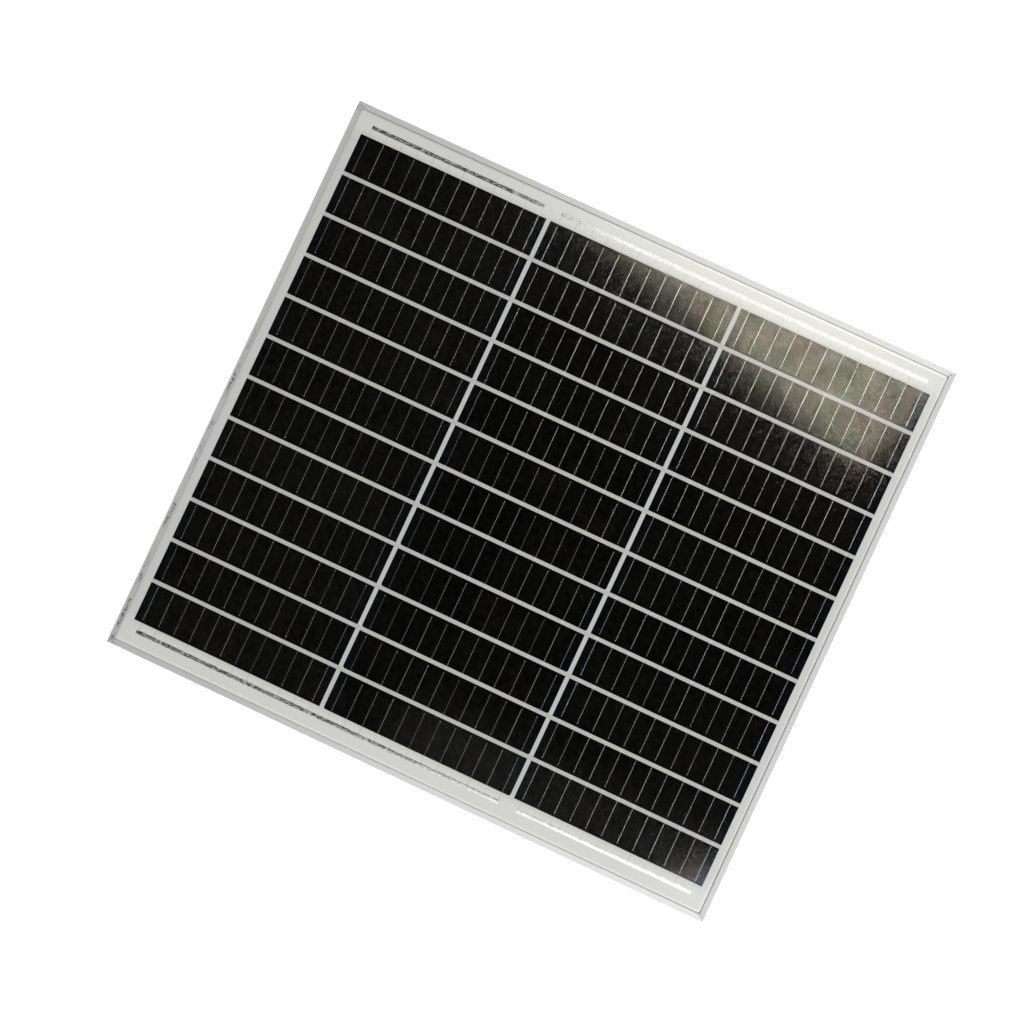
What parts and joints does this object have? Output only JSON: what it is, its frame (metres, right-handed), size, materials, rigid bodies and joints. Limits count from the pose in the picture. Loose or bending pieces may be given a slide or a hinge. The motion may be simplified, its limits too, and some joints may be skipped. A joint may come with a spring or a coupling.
{
  "type": "solar panel",
  "caption": "Rectangular framed photovoltaic panel: dark strip cells in vertical strings behind glass, silver frame, rear junction box with hinged lid.",
  "frame": {"origin": "middle of the back plane, on which the frame's flanges lie", "axes": "+X across the strings to the right, +Y up along the strings, +Z out of the glass"},
  "size_m": [0.669, 0.611, 0.025],
  "materials": {
    "anodised_frame": "satin silver anodised extrusion",
    "corner_key": "mill finish",
    "sealant": "matte silicone",
    "solar_glass": "tempered low-iron glass, lightly textured front",
    "encapsulant": "clear film",
    "white_encapsulant": "white film",
    "backsheet": "white laminated film",
    "silicon_cell": "coated monocrystalline silicon",
    "tabbing_ribbon": "tinned copper",
    "bus_ribbon": "tinned copper, crinkled",
    "box_plastic": "fine moulded texture",
    "gasket_rubber": "matte",
    "box_glue": "matte silicone",
    "terminal_brass": "plated",
    "diode_body": "moulded"
  },
  "bodies": {
    "panel": {"cell_1_1": "silicon_cell", "cell_1_2": "silicon_cell", "cell_1_3": "silicon_cell", "cell_1_4": "silicon_cell", "cell_1_5": "silicon_cell", "cell_1_6": "silicon_cell", "cell_1_7": "silicon_cell", "cell_1_8": "silicon_cell", "cell_1_9": "silicon_cell", "cell_1_10": "silicon_cell", "cell_1_11": "silicon_cell", "cell_1_12": "silicon_cell", "cell_2_1": "silicon_cell", "cell_2_2": "silicon_cell", "cell_2_3": "silicon_cell", "cell_2_4": "silicon_cell", "cell_2_5": "silicon_cell", "cell_2_6": "silicon_cell", "cell_2_7": "silicon_cell", "cell_2_8": "silicon_cell", "cell_2_9": "silicon_cell", "cell_2_10": "silicon_cell", "cell_2_11": "silicon_cell", "cell_2_12": "silicon_cell", "cell_3_1": "silicon_cell", "cell_3_2": "silicon_cell", "cell_3_3": "silicon_cell", "cell_3_4": "silicon_cell", "cell_3_5": "silicon_cell", "cell_3_6": "silicon_cell", "cell_3_7": "silicon_cell", "cell_3_8": "silicon_cell", "cell_3_9": "silicon_cell", "cell_3_10": "silicon_cell", "cell_3_11": "silicon_cell", "cell_3_12": "silicon_cell", "frame_top": "anodised_frame", "frame_bottom": "anodised_frame", "frame_left": "anodised_frame", "frame_right": "anodised_frame", "corner_keys": "corner_key", "frame_sealant": "sealant", "front_glass": "solar_glass", "encapsulant_front": "encapsulant", "encapsulant_back": "white_encapsulant", "backsheet": "backsheet", "bus_ribbon_top_left": "bus_ribbon", "bus_ribbon_top_right": "bus_ribbon", "bus_ribbon_bottom_left": "bus_ribbon", "bus_ribbon_bottom_right": "bus_ribbon", "tabbing_ribbons": "tabbing_ribbon", "junction_box_base": "box_plastic", "lid_gasket": "gasket_rubber", "box_adhesive": "box_glue", "terminals": "terminal_brass", "bypass_diodes": "diode_body", "gland_seals": "gasket_rubber"},
    "lid": {"junction_box_lid": "box_plastic"},
    "nut_left": {"gland_nut_left": "box_plastic"},
    "nut_right": {"gland_nut_right": "box_plastic"}
  },
  "joints": [
    {"name": "lid_hinge", "type": "hinge", "parent": "panel", "child": "lid", "pos_m": [-0.10725, 0.268, 0.0046], "axis": [1, 0, 0], "range_deg": [0, 110]},
    {"name": "nut_left_turn", "type": "hinge", "parent": "panel", "child": "nut_left", "pos_m": [-0.12725, 0.2, 0.0098], "axis": [0, -1, 0], "continuous": true},
    {"name": "nut_right_turn", "type": "hinge", "parent": "panel", "child": "nut_right", "pos_m": [-0.08725, 0.2, 0.0098], "axis": [0, -1, 0], "continuous": true}
  ]
}
